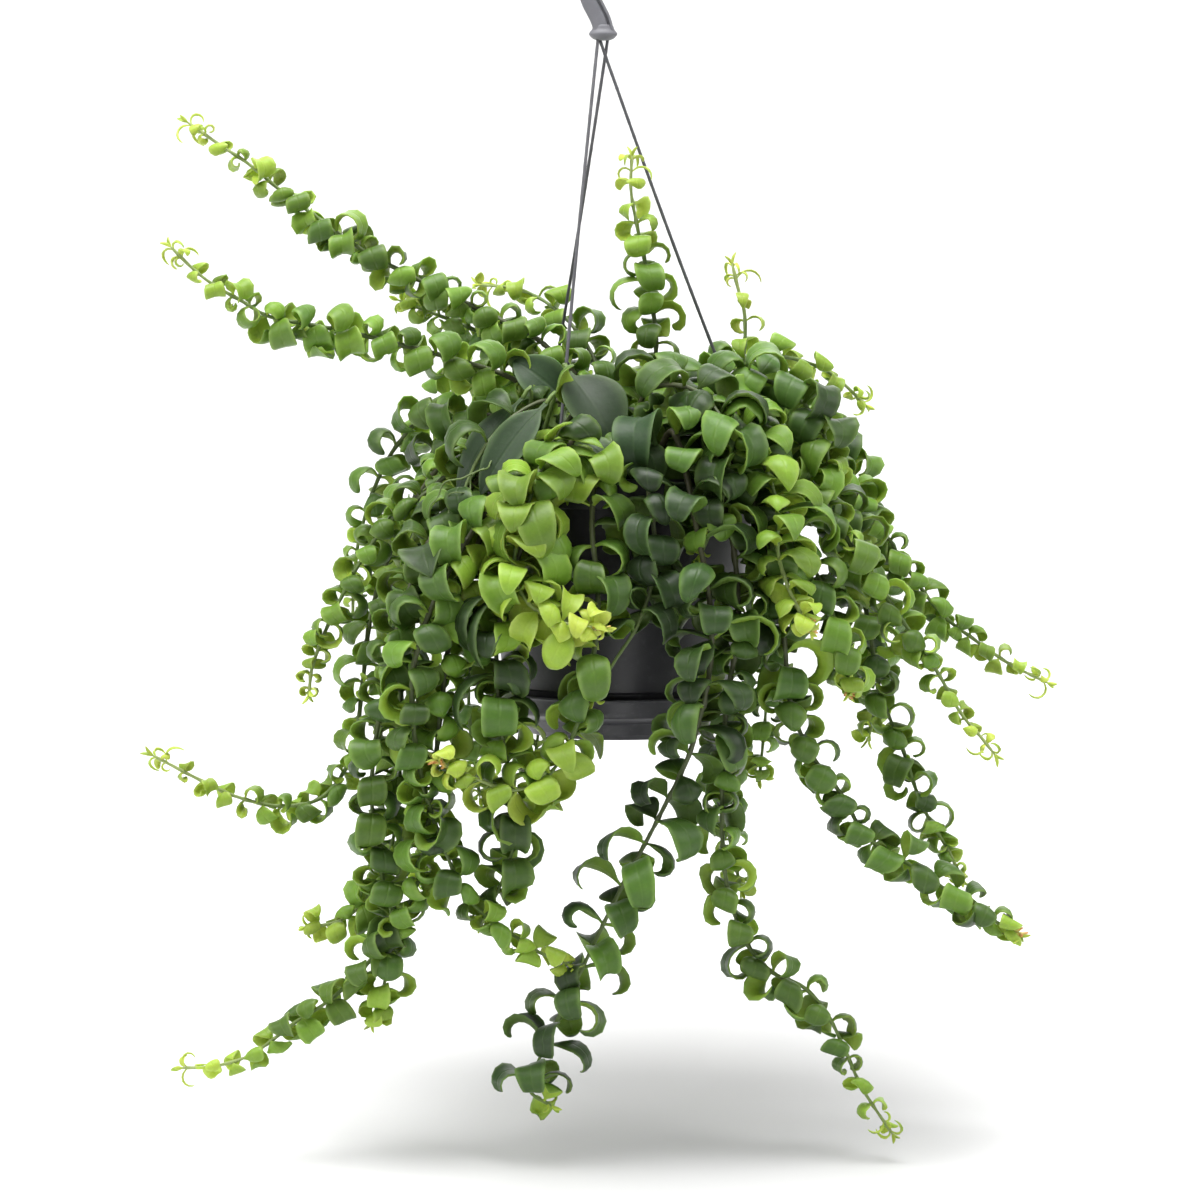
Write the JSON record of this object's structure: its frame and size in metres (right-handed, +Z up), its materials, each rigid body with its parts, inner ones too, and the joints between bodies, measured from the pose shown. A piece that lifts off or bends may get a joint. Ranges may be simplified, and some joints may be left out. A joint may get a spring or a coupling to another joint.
{
  "type": "potted trailing houseplant",
  "caption": "Trailing lipstick plant with thick, curled leaves on arching and hanging shoots, in a dark nursery pot with clip-on saucer, plastic strands and hook.",
  "frame": {"origin": "inside top of the hook's bow, where the hook rests on a rail; the pot's axis is 0 in X and Y", "axes": "+Z up, -Y towards the plant's front, +X to the right seen from the front"},
  "size_m": [0.4805, 0.2737, 0.6257],
  "materials": {
    "hanger_plastic": "satin",
    "pot_plastic": "satin",
    "potting_mix": "matte",
    "foliage_dark": "satin",
    "foliage_green": "satin",
    "foliage_lime": "satin"
  },
  "bodies": {
    "root": {"hanger_hook": "hanger_plastic", "hanger_strand_right": "hanger_plastic", "strand_clip_right": "hanger_plastic", "hanger_strand_left_back": "hanger_plastic", "strand_clip_left_back": "hanger_plastic", "hanger_strand_left_front": "hanger_plastic", "strand_clip_left_front": "hanger_plastic", "pot": "pot_plastic", "saucer": "pot_plastic", "root_ball": "potting_mix", "shoot_upper_left_a": "foliage_green", "shoot_upper_left_b": "foliage_green", "shoot_upper_left_c": "foliage_green", "shoot_top_center": "foliage_lime", "shoot_top_right": "foliage_lime", "shoot_left_outer": "foliage_green", "shoot_left_middle": "foliage_green", "shoot_left_inner": "foliage_green", "shoot_left_tip": "foliage_lime", "shoot_lower_left": "foliage_green", "shoot_lower_left_b": "foliage_green", "shoot_lime_front": "foliage_lime", "shoot_lime_low": "foliage_lime", "shoot_center_left": "foliage_dark", "shoot_center_front": "foliage_dark", "shoot_center_low": "foliage_dark", "shoot_center_right": "foliage_green", "shoot_right_low": "foliage_green", "shoot_right_a": "foliage_green", "shoot_right_b": "foliage_green", "shoot_right_c": "foliage_lime", "shoot_lime_right": "foliage_lime", "shoot_right_back": "foliage_green", "shoot_right_mid": "foliage_green", "shoot_crown_right": "foliage_dark", "shoot_crown_front": "foliage_dark", "shoot_crown_left": "foliage_dark", "shoot_back_left_a": "foliage_green", "shoot_back_left_b": "foliage_dark", "shoot_back_left_c": "foliage_green", "shoot_back_center_a": "foliage_dark", "shoot_back_center_b": "foliage_lime", "shoot_back_center_c": "foliage_dark", "shoot_back_right_a": "foliage_dark", "shoot_back_right_b": "foliage_green", "shoot_back_up": "foliage_green", "shoot_back_up_right": "foliage_green", "crown_leaf_left_outer": "foliage_dark", "crown_leaf_left_inner": "foliage_dark", "crown_leaf_center": "foliage_dark", "crown_leaf_folded": "foliage_dark", "crown_leaf_back": "foliage_dark"}
  },
  "joints": []
}
